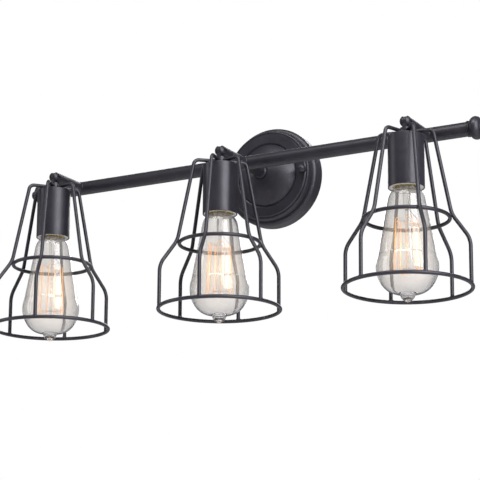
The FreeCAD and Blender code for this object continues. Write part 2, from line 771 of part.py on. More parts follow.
def cage_wire():
    """One bent cage wire in the XZ plane, from the collar to the bottom hoop."""
    top = float(S["wire_down"])
    knee = float(S["cage_knee_radius"])
    waist = float(S["mid_hoop_radius"] + S["wire_radius"] * 2) - 1.25
    rim = float(S["rim_hoop_radius"])
    points = [
        Vector(float(S["collar_radius"]) - 1.0, 0, top),
        Vector(knee, 0, top),
        Vector(waist, 0, float(S["mid_hoop_down"]) - 1.3),
        Vector(rim, 0, float(S["shoulder_down"])),
        Vector(rim, 0, float(S["rim_hoop_down"])),
    ]
    return round_wire(points, [6.0, 30.0, 25.0], float(S["wire_radius"]))


def make_cage(side):
    """Six bent wires welded to a collar, with a middle hoop inside them and a hoop at the bottom."""
    thickness = S["cup_top"] - S["collar_top"]
    bore = S["nipple_radius"] + S["seat_gap"]
    collar_at = Vector(0, 0, float(S["collar_top"]))
    collar = Part.makeCylinder(float(S["collar_radius"]), float(thickness), collar_at)
    hole = Part.makeCylinder(float(bore), float(thickness), collar_at)
    tube = float(S["wire_radius"])
    hoops = []
    for ring, down in (("mid_hoop_radius", "mid_hoop_down"), ("rim_hoop_radius", "rim_hoop_down")):
        hoops.append(Part.makeTorus(float(S[ring]), tube, Vector(0, 0, float(S[down]))))
    wire = cage_wire().cut(hoops + [collar])
    wires = [collar.cut(hole)]
    for index in range(WIRE_COUNT):
        copy = wire.copy()
        angle = -float(S["turn_" + side]) + index * 360 / WIRE_COUNT
        copy.rotate(Vector(0, 0, 0), Vector(0, 0, 1), angle)
        wires.append(copy)
    cage = from_shape("cage_wire_set", Part.makeCompound(wires))
    name_node(hang(cage, side), "cage_wires_" + side)
    for label, ring, down in (
        ("cage_hoop_mid_", S["mid_hoop_radius"], S["mid_hoop_down"]),
        ("cage_hoop_rim_", S["rim_hoop_radius"], S["rim_hoop_down"]),
    ):
        hoop = torus("hoop_ring", ring, S["wire_radius"], (0, 0, down))
        carrier = doc.addObject("Part::Compound", "hoop_carrier")
        carrier.Links = [hoop]
        name_node(hang(carrier, side), label + side)


def make_socket(side):
    """Sheet cup, insulating body with its threaded boss, and the brass shell and centre contact."""
    bore = S["nipple_radius"] + S["seat_gap"]
    inside = S["cup_radius"] - S["cup_wall"]
    cup_outline = [
        (bore, S["cup_top"]),
        (S["cup_radius"] - S["cup_bevel"], S["cup_top"]),
        (S["cup_radius"], S["cup_top"] + S["cup_bevel"]),
        (S["cup_radius"], S["cup_bottom"]),
        (inside, S["cup_bottom"]),
        (inside, S["cup_top"] + S["cup_wall"]),
        (bore, S["cup_top"] + S["cup_wall"]),
    ]
    name_node(hang(turned_body("cup_body", cup_outline), side), "socket_cup_" + side)

    body_bottom = S["cup_bottom"] - 0.6
    body_outline = [
        (bore, S["socket_top"]),
        (S["socket_boss"], S["socket_top"]),
        (S["socket_boss"], S["socket_floor"] - 10),
        (S["socket_radius"], S["socket_floor"] - 6),
        (S["socket_radius"], body_bottom),
        (S["socket_mouth"], body_bottom),
        (S["socket_mouth"], S["socket_floor"]),
        (bore, S["socket_floor"]),
    ]
    name_node(hang(turned_body("insulator_body", body_outline), side), "socket_body_" + side)

    top = float(S["socket_floor"]) + 4.0
    bottom = float(body_bottom) - 1.0
    inner = float(S["shell_radius"] + S["rib_height"])
    wall = float(S["shell_wall"])
    faces = [outline_edges((inner, top), rib_steps(inner, top, bottom))]
    faces.append(outline_edges((inner + wall, top), rib_steps(inner + wall, top, bottom)))
    lips = [
        Part.LineSegment(Vector(inner, 0, z), Vector(inner + wall, 0, z)).toShape()
        for z in (top, bottom)
    ]
    shell = revolve(faces[0] + faces[1] + lips)
    floor = float(S["socket_floor"])
    contact = Part.makeCylinder(float(S["socket_boss"]), 0.5, Vector(0, 0, floor))
    button = Part.makeCylinder(3.2, 1.2, Vector(0, 0, floor + 0.5))
    brass = from_shape("socket_brass", Part.makeCompound([shell, contact.fuse(button)]))
    name_node(hang(brass, side), "socket_contacts_" + side)

    leads = []
    start = float(S["neck_top"]) + 1.0
    for sign in (-1, 1):
        foot = Vector(float(S["lead_radius"]) * 1.4 * sign, 0, start)
        leads.append(Part.makeCylinder(float(S["lead_radius"]), floor - 0.5 - start, foot))
    name_node(hang(from_shape("neck_wires", Part.makeCompound(leads)), side), "socket_leads_" + side)


# ------------------------------------------------------------------ a lamp


def lamp_side(shift):
    """Tapered squirrel-cage lamp glass from its neck down past its widest part."""
    wide = float(S["glass_radius"]) - shift
    tip = float(S["glass_tip"]) - shift
    neck = float(S["cap_radius"]) - 1.1 - shift
    mouth = float(S["cap_bottom"])
    start = (neck, mouth - 5.0)
    steps = [
        [(neck, mouth + 0.4)],
        [(wide - 15.4, mouth + 5.6), (wide - 12.4, mouth + 13.4)],
        [(wide - 1.9, tip - 48.0)],
        [(wide, tip - 35.5), (wide - 4.8, tip - 20.0)],
    ]
    return start, steps


def lamp_glass_solid():
    """Blown glass: the side, a flattened bottom, and the solid stub where the glass was sealed."""
    wall = float(S["glass_wall"])
    wide = float(S["glass_radius"])
    tip = float(S["glass_tip"])
    start, steps = lamp_side(0)
    steps += [
        [(wide - 11.8, tip - 12.4), (9.6, tip - 8.9)],
        [(8.0, tip - 7.5), (7.2, tip - 5.4)],
        [(4.9, tip - 2.3), (0.8, tip)],
        [(0.0, tip)],
    ]
    outer = outline_edges(start, steps)
    start, steps = lamp_side(wall)
    steps += [
        [(wide - 12.6, tip - 13.3), (0.8, tip - 9.7)],
        [(0.0, tip - 9.7)],
    ]
    inner = outline_edges(start, steps)
    lip = Part.LineSegment(outer[0].firstVertex().Point, inner[0].firstVertex().Point).toShape()
    foot = Part.LineSegment(outer[-1].lastVertex().Point, inner[-1].lastVertex().Point).toShape()
    return revolve(outer + inner + [lip, foot])


def straight_wire(start, end, radius):
    """Round wire between two points."""
    return Part.makeCylinder(radius, (end - start).Length, start, end - start)


def filament_solid():
    """Legs that widen a little downwards, held at both ends by fine wires from the glass rod."""
    rod = float(S["rod_radius"])
    top = float(S["filament_top"])
    bottom = float(S["filament_bottom"])
    legs = []
    for index in range(FILAMENT_LEGS):
        angle = math.radians(index * 360 / FILAMENT_LEGS)
        out = Vector(math.cos(angle), math.sin(angle), 0)
        upper = out * float(S["filament_upper"]) + Vector(0, 0, top)
        lower = out * float(S["filament_lower"]) + Vector(0, 0, bottom)
        leg = [straight_wire(upper, lower, float(S["filament_wire"]))]
        for end in (upper, lower):
            at_rod = out * rod + Vector(0, 0, end.z)
            leg.append(straight_wire(at_rod, end, float(S["support_wire"])))
        legs.append(leg[0].multiFuse(leg[1:]))
    return Part.makeCompound(legs)


def make_lamp(side):
    """Lamp: sheet-metal screw cap, hollow glass, glass stem with its rod, and the hairpin filament."""
    glass = from_shape("lamp_glass", lamp_glass_solid())
    name_node(hang(glass, side), "bulb_glass_" + side)

    radius = float(S["cap_radius"])
    bottom = float(S["cap_bottom"])
    top = float(S["socket_floor"]) + 2.4
    pocket_top = bottom - 5.6
    neck = radius - 1.1 + float(S["seat_gap"])
    steps = [[(4.6, top)], [(4.6, top + 1.0)], [(9.4, top + 2.4)], [(radius, top + 5.0)]]
    steps += rib_steps(radius, top + 5.0, bottom)
    steps += [[(neck, bottom)], [(neck, pocket_top)], [(0, pocket_top)], [(0, top)]]
    cap = from_shape("lamp_cap", revolve(outline_edges((0, top), steps)))
    name_node(hang(cap, side), "bulb_base_" + side)

    glass_inside = neck - float(S["glass_wall"]) - 0.15
    rod_radius = float(S["rod_radius"])
    rod_end = float(S["filament_bottom"]) + 2.0
    press = float(S["filament_top"]) - 12.0
    steps = [[(glass_inside, bottom - 5.0)], [(glass_inside, bottom - 4.0)], [(4.2, bottom + 2.0)]]
    steps += [[(3.4, press)], [(rod_radius, press + 3)], [(rod_radius, rod_end)]]
    steps += [[(0, rod_end)], [(0, bottom - 5.0)]]
    stem = from_shape("lamp_stem", revolve(outline_edges((0, bottom - 5.0), steps)))
    name_node(hang(stem, side), "bulb_stem_" + side)

    name_node(hang(from_shape("filament_cage", filament_solid()), side), "filament_" + side)


# ------------------------------------------------------------------ build, check and export


def check_document():
    """Stops the build if anything in the document failed or a node isn't made of valid solids."""
    doc.recompute()
    for thing in doc.Objects:
        if "Invalid" in thing.State or "Error" in thing.State:
            raise RuntimeError(f"{thing.Label} failed: {thing.State}")
    for thing in NODES:
        shape = thing.Shape
        if shape.isNull() or not shape.isValid() or not shape.Solids:
            raise RuntimeError(f"{thing.Label} has no valid solid")
        if shape.Volume <= 0:
            raise RuntimeError(f"{thing.Label} is inside out")


def export_nodes():
    os.makedirs("parts", exist_ok=True)
    for thing in NODES:
        thing.Shape.exportStep(f"parts/{thing.Label}.step")
        print(thing.Label, len(thing.Shape.Solids), round(thing.Shape.Volume, 1))
    print(len(NODES), "nodes")


make_canopy()
make_crossbar()
make_studs_and_cap_nuts()
make_stem()
make_ground_screw()
make_wire_connectors()
make_supply_leads()
make_bar()
make_finials()
make_pivot_screws()
for side_name in SIDES:
    make_arm(side_name)
    make_knuckle(side_name)
    make_neck(side_name)
    make_cage(side_name)
    make_socket(side_name)
    make_lamp(side_name)
check_document()
export_nodes()
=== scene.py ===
import json
import math
import random

import bpy
import numpy as np
from mathutils import Matrix, Vector


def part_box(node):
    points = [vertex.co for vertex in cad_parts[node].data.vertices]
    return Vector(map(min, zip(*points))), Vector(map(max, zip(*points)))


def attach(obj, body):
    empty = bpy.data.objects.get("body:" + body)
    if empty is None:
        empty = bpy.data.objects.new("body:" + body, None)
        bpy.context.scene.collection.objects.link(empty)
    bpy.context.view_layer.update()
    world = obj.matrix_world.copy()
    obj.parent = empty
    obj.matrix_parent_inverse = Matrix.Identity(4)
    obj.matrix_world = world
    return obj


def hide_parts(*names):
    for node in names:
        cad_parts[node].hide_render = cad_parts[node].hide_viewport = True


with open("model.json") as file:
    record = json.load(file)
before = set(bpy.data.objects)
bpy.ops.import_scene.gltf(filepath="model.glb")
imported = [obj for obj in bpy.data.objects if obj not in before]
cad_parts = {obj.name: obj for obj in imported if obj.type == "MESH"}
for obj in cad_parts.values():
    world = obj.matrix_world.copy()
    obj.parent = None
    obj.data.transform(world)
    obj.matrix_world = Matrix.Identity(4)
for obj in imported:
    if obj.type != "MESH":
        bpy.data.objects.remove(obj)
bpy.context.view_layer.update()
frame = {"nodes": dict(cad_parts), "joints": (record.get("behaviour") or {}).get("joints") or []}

# Looks of the vanity light bar. World frame, in metres: +X right along the bar, +Y into the wall,
# +Z up.
# Pieces of a head are made in that head's own frame, in millimetres: the pivot is the origin,
# z runs down along the lamp, y out of the wall and x along the bar.

MM = 0.001
SIDES = ("left", "mid", "right")
NODES = frame["nodes"]
JOINTS = {joint["name"]: joint for joint in frame["joints"]}
WIRE_COUNT = 6
FILAMENT_LEGS = 10
COLLAR_RADIUS = 7.0
THREAD_PITCH = 3.63
CAP_THREAD_DEPTH = 0.6
SHELL_THREAD_DEPTH = 0.3


# ------------------------------------------------------------------ frames and measures


def head_matrix(side):
    """Head frame in millimetres to the world, from the head's hinge and its lamp's slide."""
    pivot = Vector(JOINTS["tilt_" + side]["pos_m"])
    down = Vector(JOINTS["unscrew_" + side]["axis"]).normalized()
    across = Vector((1, 0, 0))
    out = down.cross(across)
    turn = Matrix((across, out, down)).transposed().to_4x4()
    return Matrix.Translation(pivot) @ turn @ Matrix.Scale(MM, 4)


HEADS = {side: head_matrix(side) for side in SIDES}


def head_points(node, side):
    """A CAD node's corners in its head's frame, one row each, in millimetres."""
    inverse = HEADS[side].inverted()
    return np.array([tuple(inverse @ v.co) for v in NODES[node].data.vertices])


def reach(node, side):
    """Largest radius, top and bottom of a head's node, in its head's frame."""
    points = head_points(node, side)
    radius = np.hypot(points[:, 0], points[:, 1]).max()
    return float(radius), float(points[:, 2].min()), float(points[:, 2].max())


def first_wire_angle(side):
    """Angle of the first cage wire about the lamp's axis, from the upright part of the wires."""
    points = head_points("cage_wires_" + side, side)
    low = points[points[:, 2] > points[:, 2].max() - 20.0]
    angles = WIRE_COUNT * np.arctan2(low[:, 1], low[:, 0])
    return float(math.atan2(np.sin(angles).sum(), np.cos(angles).sum()) / WIRE_COUNT)


def wire_top(side):
    """Highest point of the cage wires where they leave the collar."""
    points = head_points("cage_wires_" + side, side)
    outside = np.hypot(points[:, 0], points[:, 1]) > COLLAR_RADIUS + 4.0
    return float(points[outside][:, 2].min())


# ------------------------------------------------------------------ mesh helpers


def make_piece(name, vertices, faces, material, sharp=35.0):
    """New object from corners in the world, smooth except at edges over sharp degrees."""
    mesh = bpy.data.meshes.new(name)
    mesh.from_pydata([tuple(v) for v in vertices], [], faces)
    mesh.validate()
    mesh.shade_smooth()
    mesh.set_sharp_from_angle(angle=math.radians(sharp))
    mesh.materials.append(material)
    piece = bpy.data.objects.new(name, mesh)
    bpy.context.scene.collection.objects.link(piece)
    return piece


def moved(vertices, matrix):
    return [matrix @ Vector(v) for v in vertices]


def joined(parts):
    """One list of corners and faces from several."""
    vertices, faces = [], []
    for part_vertices, part_faces in parts:
        start = len(vertices)
        vertices += list(part_vertices)
        faces += [[start + i for i in face] for face in part_faces]
    return vertices, faces


def ring_faces(rings, sides, closed=False):
    """Quads between rings of the same number of corners."""
    faces = []
    last = rings if closed else rings - 1
    for ring in range(last):
        low, high = ring * sides, (ring + 1) % rings * sides
        for side in range(sides):
            following = (side + 1) % sides
            faces.append([low + side, low + following, high + following, high + side])
    return faces


def lathe(outline, segments=96, closed=True):
    """Turned skin about z from an outline of (radius, z). Points on the axis become one corner."""
    vertices, rows = [], []
    for radius, height in outline:
        if radius < 1e-6:
            rows.append([len(vertices)] * segments)
            vertices.append((0.0, 0.0, height))
            continue
        rows.append(list(range(len(vertices), len(vertices) + segments)))
        for step in range(segments):
            angle = 2 * math.pi * step / segments
            vertices.append((radius * math.cos(angle), radius * math.sin(angle), height))
    pairs = list(zip(rows, rows[1:]))
    if closed:
        pairs.append((rows[-1], rows[0]))
    faces = []
    for low, high in pairs:
        for step in range(segments):
            following = (step + 1) % segments
            face = [low[step], low[following], high[following], high[step]]
            face = list(dict.fromkeys(face))
            if len(face) > 2:
                faces.append(face)
    return vertices, faces


def corner_arc(centre, radius, start, end, steps=4):
    """Points of an arc in an outline, angles in degrees from +radius towards +z."""
    turns = [math.radians(start + (end - start) * i / steps) for i in range(steps + 1)]
    return [(centre[0] + radius * math.cos(a), centre[1] + radius * math.sin(a)) for a in turns]


def tube(path, radius, sides=10, closed=False):
    """Round tube along points. radius is one value or one for each point."""
    points = [Vector(p) for p in path]
    count = len(points)
    radii = radius if isinstance(radius, list) else [radius] * count
    vertices = []
    normal = None
    for index, point in enumerate(points):
        before = points[index - 1] if index or closed else point
        after = points[(index + 1) % count] if index < count - 1 or closed else point
        along = (after - before).normalized()
        if normal is None:
            normal = along.orthogonal().normalized()
        normal = (normal - along * normal.dot(along)).normalized()
        other = along.cross(normal)
        for side in range(sides):
            angle = 2 * math.pi * side / sides
            offset = normal * math.cos(angle) + other * math.sin(angle)
            vertices.append(point + offset * radii[index])
    faces = ring_faces(count, sides, closed)
    if not closed:
        faces.append(list(range(sides))[::-1])
        faces.append(list(range((count - 1) * sides, count * sides)))
    return vertices, faces


def blob(centre, axes, radii, rng, rings=8, sides=14, roughness=0.07):
    """Lumpy ellipsoid with its half sizes along three axes, as a small weld bead cools."""
    centre = Vector(centre)
    phases = [rng.uniform(0, 2 * math.pi) for _ in range(3)]
    vertices = [centre - axes[2] * radii[2]]
    for ring in range(1, rings):
        tilt = math.pi * ring / rings
        for side in range(sides):
            turn = 2 * math.pi * side / sides
            swell = 1 + roughness * math.sin(3 * turn + phases[0]) * math.sin(2 * tilt + phases[1])
            swell += roughness * 0.5 * math.sin(5 * turn + phases[2])
            x = math.sin(tilt) * math.cos(turn) * radii[0] * swell
            y = math.sin(tilt) * math.sin(turn) * radii[1] * swell
            z = -math.cos(tilt) * radii[2]
            vertices.append(centre + axes[0] * x + axes[1] * y + axes[2] * z)
    vertices.append(centre + axes[2] * radii[2])
    last = len(vertices) - 1
    faces = []
    for side in range(sides):
        following = (side + 1) % sides
        faces.append([0, 1 + following, 1 + side])
        foot = 1 + (rings - 2) * sides
        faces.append([last, foot + side, foot + following])
        for ring in range(rings - 2):
            low, high = 1 + ring * sides, 1 + (ring + 1) * sides
            faces.append([low + side, low + following, high + following, high + side])
    return vertices, faces


# ------------------------------------------------------------------ materials


class Paint:
    """A node material under construction: a Principled shader with object-space noise to hand."""

    def __init__(self, name):
        self.material = bpy.data.materials.new(name)
        self.material.use_nodes = True
        self.nodes = self.material.node_tree.nodes
        self.links = self.material.node_tree.links
        self.shader = self.nodes["Principled BSDF"]
        self.place = self.nodes.new("ShaderNodeTexCoord").outputs["Object"]

    def set(self, **values):
        for name, value in values.items():
            self.shader.inputs[name.replace("_", " ")].default_value = value
        return self

    def noise(self, scale, detail=3.0, roughness=0.55, stretch=(1, 1, 1)):
        """Noise of that many features to a metre, stretched along the axes."""
        mapping = self.nodes.new("ShaderNodeMapping")
        mapping.inputs["Scale"].default_value = stretch
        self.links.new(self.place, mapping.inputs["Vector"])
        noise = self.nodes.new("ShaderNodeTexNoise")
        noise.inputs["Scale"].default_value = scale
        noise.inputs["Detail"].default_value = detail
        noise.inputs["Roughness"].default_value = roughness
        self.links.new(mapping.outputs["Vector"], noise.inputs["Vector"])
        return noise.outputs["Fac"]

    def edges(self, low=0.64, high=0.76):
        """1 on convex edges, where a finish wears, and 0 elsewhere."""
        geometry = self.nodes.new("ShaderNodeNewGeometry")
        return self.spread(geometry.outputs["Pointiness"], low, high)

    def spread(self, value, low, high, start=0.0, end=1.0):
        """value from low to high, mapped to start to end."""
        spread = self.nodes.new("ShaderNodeMapRange")
        spread.inputs["From Min"].default_value = low
        spread.inputs["From Max"].default_value = high
        spread.inputs["To Min"].default_value = start
        spread.inputs["To Max"].default_value = end
        self.links.new(value, spread.inputs["Value"])
        return spread.outputs["Result"]

    def turned_away(self, low, high):
        """0 where the surface is seen square on, rising to 1 near its outline."""
        weight = self.nodes.new("ShaderNodeLayerWeight")
        return self.spread(weight.outputs["Facing"], low, high)

    def math(self, kind, first, second):
        node = self.nodes.new("ShaderNodeMath")
        node.operation = kind
        for socket, value in zip(node.inputs, (first, second)):
            if isinstance(value, (int, float)):
                socket.default_value = value
            else:
                self.links.new(value, socket)
        return node.outputs["Value"]

    def blend(self, factor, first, second):
        """Colour between first and second; each is a colour or another node's colour."""
        mix = self.nodes.new("ShaderNodeMix")
        mix.data_type = "RGBA"
        self.links.new(factor, mix.inputs[0])
        for socket, value in ((mix.inputs[6], first), (mix.inputs[7], second)):
            if isinstance(value, tuple):
                socket.default_value = (*value, 1.0)
            else:
                self.links.new(value, socket)
        return mix.outputs[2]

    def colour(self, value):
        self.links.new(value, self.shader.inputs["Base Color"])
        return self

    def rough(self, value):
        self.links.new(value, self.shader.inputs["Roughness"])
        return self

    def bump(self, height, strength, distance):
        bump = self.nodes.new("ShaderNodeBump")
        bump.inputs["Strength"].default_value = strength
        bump.inputs["Distance"].default_value = distance
        self.links.new(height, bump.inputs["Height"])
        self.links.new(bump.outputs["Normal"], self.shader.inputs["Normal"])
        return self


def dark_bronze():
    """Oil-rubbed bronze paint: near black with a violet cast, satin, browner on worn edges."""
    paint = Paint("dark_bronze_paint").set(Metallic=0.2, IOR=1.5)
    tone = paint.spread(paint.noise(45.0, 4.0), 0.35, 0.65)
    body = paint.blend(tone, (0.0135, 0.0125, 0.0165), (0.0185, 0.0172, 0.0235))
    worn = paint.math("MULTIPLY", paint.edges(), paint.spread(paint.noise(420.0), 0.4, 0.62))
    paint.colour(paint.blend(worn, body, (0.075, 0.062, 0.056)))
    paint.rough(paint.spread(paint.noise(140.0, 2.0), 0.3, 0.7, 0.38, 0.46))
    return paint.bump(paint.noise(1900.0, 2.0), 0.08, 0.0002).material


def zinc_steel():
    """Zinc-plated steel with a faint rolled grain and pale spangle."""
    paint = Paint("zinc_plate").set(Metallic=1.0)
    tone = paint.spread(paint.noise(160.0, 5.0), 0.3, 0.7)
    paint.colour(paint.blend(tone, (0.50, 0.50, 0.49), (0.66, 0.66, 0.63)))
    grain = paint.noise(500.0, 3.0, 0.6, (0.08, 1, 1))
    paint.rough(paint.spread(grain, 0.3, 0.7, 0.28, 0.46))
    return paint.bump(grain, 0.15, 0.0002).material


def green_screw():
    """Green passivated screw."""
    paint = Paint("green_passivate").set(Metallic=0.7)
    tone = paint.spread(paint.noise(700.0), 0.3, 0.7)
    paint.colour(paint.blend(tone, (0.02, 0.17, 0.05), (0.05, 0.30, 0.10)))
    paint.rough(paint.spread(paint.noise(900.0), 0.3, 0.7, 0.3, 0.5))
    return paint.bump(paint.noise(2600.0), 0.15, 0.0002).material


def bare_copper():
    """Drawn copper wire, slightly tarnished."""
    paint = Paint("drawn_copper").set(Metallic=1.0)
    tone = paint.spread(paint.noise(300.0, 4.0), 0.35, 0.7)
    paint.colour(paint.blend(tone, (0.72, 0.33, 0.18), (0.38, 0.19, 0.12)))
    paint.rough(paint.spread(paint.noise(800.0), 0.3, 0.7, 0.22, 0.42))
    return paint.bump(paint.noise(1500.0), 0.1, 0.0002).material


def lead_insulation():
    """Smooth plastic insulation with a slight unevenness from the extruder."""
    paint = Paint("lead_plastic").set(IOR=1.5)
    tone = paint.spread(paint.noise(90.0), 0.3, 0.7)
    paint.colour(paint.blend(tone, (0.025, 0.025, 0.027), (0.05, 0.05, 0.052)))
    paint.rough(paint.spread(paint.noise(500.0), 0.3, 0.7, 0.38, 0.52))
    return paint.bump(paint.noise(1200.0), 0.12, 0.0002).material


def connector_shell():
    """Moulded orange plastic of a twist-on connector."""
    paint = Paint("connector_plastic").set(IOR=1.5)
    tone = paint.spread(paint.noise(200.0), 0.3, 0.7)
    paint.colour(paint.blend(tone, (0.68, 0.20, 0.03), (0.82, 0.27, 0.05)))
    paint.rough(paint.spread(paint.noise(600.0), 0.3, 0.7, 0.4, 0.55))
    return paint.bump(paint.noise(1600.0), 0.15, 0.0002).material


def white_insulator():
    """Glazed white porcelain with small specks and a soft unevenness."""
    paint = Paint("porcelain").set(IOR=1.52, Coat_Weight=0.5, Coat_Roughness=0.12)
    specks = paint.spread(paint.noise(1400.0, 1.0), 0.68, 0.74)
    paint.colour(paint.blend(specks, (0.86, 0.84, 0.79), (0.62, 0.58, 0.50)))
    paint.rough(paint.spread(paint.noise(260.0), 0.3, 0.7, 0.25, 0.4))
    return paint.bump(paint.noise(350.0, 2.0), 0.15, 0.0003).material


def socket_brass():
    """Rolled brass, warm yellow with a little darker tarnish."""
    paint = Paint("rolled_brass").set(Metallic=0.6)
    tone = paint.spread(paint.noise(260.0, 4.0), 0.4, 0.7)
    paint.colour(paint.blend(tone, (0.86, 0.66, 0.22), (0.60, 0.42, 0.13)))
    paint.rough(paint.spread(paint.noise(700.0), 0.3, 0.7, 0.22, 0.4))
    return paint.bump(paint.noise(1500.0), 0.1, 0.0002).material


def lamp_glass():
    """Blown soda glass with soft ripples and a faint haze, its colour greyed towards the outline as
    painted shade.
    """
    paint = Paint("blown_glass").set(IOR=1.45, Transmission_Weight=0.93)
    tone = paint.spread(paint.noise(38.0, 3.0, 0.5, (1, 1, 0.35)), 0.3, 0.7)
    body = paint.blend(tone, (0.83, 0.82, 0.805), (0.885, 0.875, 0.86))
    # Painted shade: the base colour turns grey where the glass is seen edge-on, near its outline.
    paint.colour(paint.blend(paint.turned_away(0.15, 0.75), body, (0.52, 0.52, 0.53)))
    paint.rough(paint.spread(paint.noise(120.0), 0.35, 0.75, 0.01, 0.04))
    return paint.bump(paint.noise(60.0, 2.0, 0.5, (1, 1, 0.3)), 0.06, 0.001).material


def lamp_stem_glass():
    """Clear pressed glass of the stem and its rod."""
    paint = Paint("stem_glass").set(IOR=1.5, Transmission_Weight=0.96)
    tone = paint.spread(paint.noise(200.0), 0.3, 0.7)
    paint.colour(paint.blend(tone, (0.86, 0.86, 0.84), (0.94, 0.94, 0.92)))
    paint.rough(paint.spread(paint.noise(300.0), 0.3, 0.7, 0.02, 0.09))
    return paint.bump(paint.noise(400.0), 0.2, 0.0004).material


def lamp_cap():
    """Brass lamp cap, dulled in its thread."""
    paint = Paint("cap_brass").set(Metallic=0.3)
    tone = paint.spread(paint.noise(240.0, 4.0), 0.35, 0.7)
    paint.colour(paint.blend(tone, (0.95, 0.80, 0.10), (0.80, 0.62, 0.07)))
    paint.rough(paint.spread(paint.noise(800.0), 0.3, 0.7, 0.3, 0.48))
    return paint.bump(paint.noise(1800.0), 0.12, 0.0002).material


def filament_wire():
    """Glowing carbon-style filament: amber, a little hotter in places."""
    paint = Paint("glowing_filament").set(Emission_Strength=0.8)
    heat = paint.spread(paint.noise(90.0), 0.35, 0.65)
    glow = paint.blend(heat, (1.0, 0.38, 0.03), (1.0, 0.50, 0.10))
    paint.links.new(glow, paint.shader.inputs["Emission Color"])
    paint.colour(paint.blend(heat, (0.30, 0.13, 0.05), (0.42, 0.22, 0.10)))
    return paint.bump(paint.noise(2500.0), 0.2, 0.0001).material


def support_metal():
    """Dull molybdenum of the wires that carry the filament."""
    paint = Paint("support_metal").set(Metallic=1.0)
    tone = paint.spread(paint.noise(500.0), 0.3, 0.7)
    paint.colour(paint.blend(tone, (0.20, 0.19, 0.17), (0.36, 0.33, 0.28)))
    paint.rough(paint.spread(paint.noise(900.0), 0.3, 0.7, 0.35, 0.55))
    return paint.bump(paint.noise(2400.0), 0.1, 0.0001).material


def weld_metal():
    """Weld beads under the bronze paint, rougher than the wires."""
    paint = Paint("painted_weld").set(Metallic=0.2, IOR=1.5)
    tone = paint.spread(paint.noise(300.0), 0.3, 0.7)
    paint.colour(paint.blend(tone, (0.0125, 0.0115, 0.0145), (0.0195, 0.018, 0.0225)))
    paint.rough(paint.spread(paint.noise(500.0), 0.3, 0.7, 0.38, 0.58))
    return paint.bump(paint.noise(1400.0, 3.0), 0.35, 0.0004).material


FINISHES = {
    "dark_bronze": dark_bronze(),
    "zinc_steel": zinc_steel(),
    "green_screw": green_screw(),
    "bare_copper": bare_copper(),
    "lead_insulation": lead_insulation(),
    "connector_shell": connector_shell(),
    "white_insulator": white_insulator(),
    "socket_brass": socket_brass(),
    "lamp_glass": lamp_glass(),
    "lamp_stem_glass": lamp_stem_glass(),
    "lamp_cap": lamp_cap(),
    "filament_wire": filament_wire(),
}
SUPPORT_METAL = support_metal()
WELD_METAL = weld_metal()


def finish_cad_nodes():
    """Each carried-over CAD node takes the finish of its own material slot."""
    for node in NODES.values():
        for slot in node.material_slots:
            slot.material = FINISHES[slot.material.name]


# ------------------------------------------------------------------ pieces of a head


def add_cup(side):
    """Spun cup: rounded shoulder, plain wall and a mouth edge that is rolled smooth."""
    radius, top, bottom = reach("socket_cup_" + side, side)
    wall = 0.9
    shoulder = 1.1
    hole = 4.85
    lip = wall / 2
    outline = [(hole, top), (radius * 0.5, top)]
    outline += corner_arc((radius - shoulder, top + shoulder), shoulder, -90, 0, 6)
    outline += [(radius, top + (bottom - top) * f) for f in (0.2, 0.4, 0.6, 0.8)]
    outline += corner_arc((radius - lip, bottom - lip), lip, 0, 180, 8)
    inside, ceiling = radius - wall, top + wall
    outline += [(inside, ceiling + 1.0), (inside - 1.0, ceiling), (hole, ceiling)]
    vertices, faces = lathe(outline)
    corners = moved(vertices, HEADS[side])
    cup = make_piece("cup_shell_" + side, corners, faces, FINISHES["dark_bronze"], 50)
    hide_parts("socket_cup_" + side)
    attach(cup, "head_" + side)


def threaded_rows(crest, depth, start, end, segments, per_turn=8):
    """Rows of a helical rolled thread between two heights that fades out at both ends."""
    rows = int((end - start) / THREAD_PITCH * per_turn)
    vertices = []
    for row in range(rows + 1):
        height = start + (end - start) * row / rows
        fade = min(1.0, row / per_turn, (rows - row) / per_turn)
        for step in range(segments):
            turn = step / segments
            wave = 0.5 - 0.5 * math.cos(2 * math.pi * ((height - start) / THREAD_PITCH - turn))
            radius = crest - depth * wave * fade
            angle = 2 * math.pi * turn
            vertices.append((radius * math.cos(angle), radius * math.sin(angle), height))
    return vertices, rows + 1


def add_screw_shell(side):
    """Brass shell of the socket with its rolled thread, and the sprung centre contact above it."""
    points = head_points("socket_contacts_" + side, side)
    radius = np.hypot(points[:, 0], points[:, 1])
    wall = 0.3
    outer = float(radius.max())
    shell = points[radius > outer - 1.5]
    top, bottom = float(shell[:, 2].min()), float(shell[:, 2].max())
    segments = 72
    inside, rows = threaded_rows(outer - wall, SHELL_THREAD_DEPTH, top, bottom, segments)
    outside, _ = threaded_rows(outer, SHELL_THREAD_DEPTH, top, bottom, segments)
    parts = [(inside, ring_faces(rows, segments)), (outside, ring_faces(rows, segments))]
    rims = []
    for row in (0, rows - 1):
        for step in range(segments):
            following = (step + 1) % segments
            low, high = row * segments, rows * segments + row * segments
            rims.append([low + step, low + following, high + following, high + step])
    vertices, faces = joined(parts)
    faces += rims
    floor = float(points[:, 2].min())
    contact = [(0.0, floor), (8.0, floor), (8.0, floor + 0.5), (4.2, floor + 0.6)]
    contact += corner_arc((2.4, floor + 0.9), 0.8, 0, 90, 4) + [(0.0, floor + 1.75)]
    vertices, faces = joined([(vertices, faces), lathe(contact, 48, closed=False)])
    corners = moved(vertices, HEADS[side])
    shell = make_piece("screw_shell_" + side, corners, faces, FINISHES["socket_brass"])
    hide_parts("socket_contacts_" + side)
    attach(shell, "head_" + side)


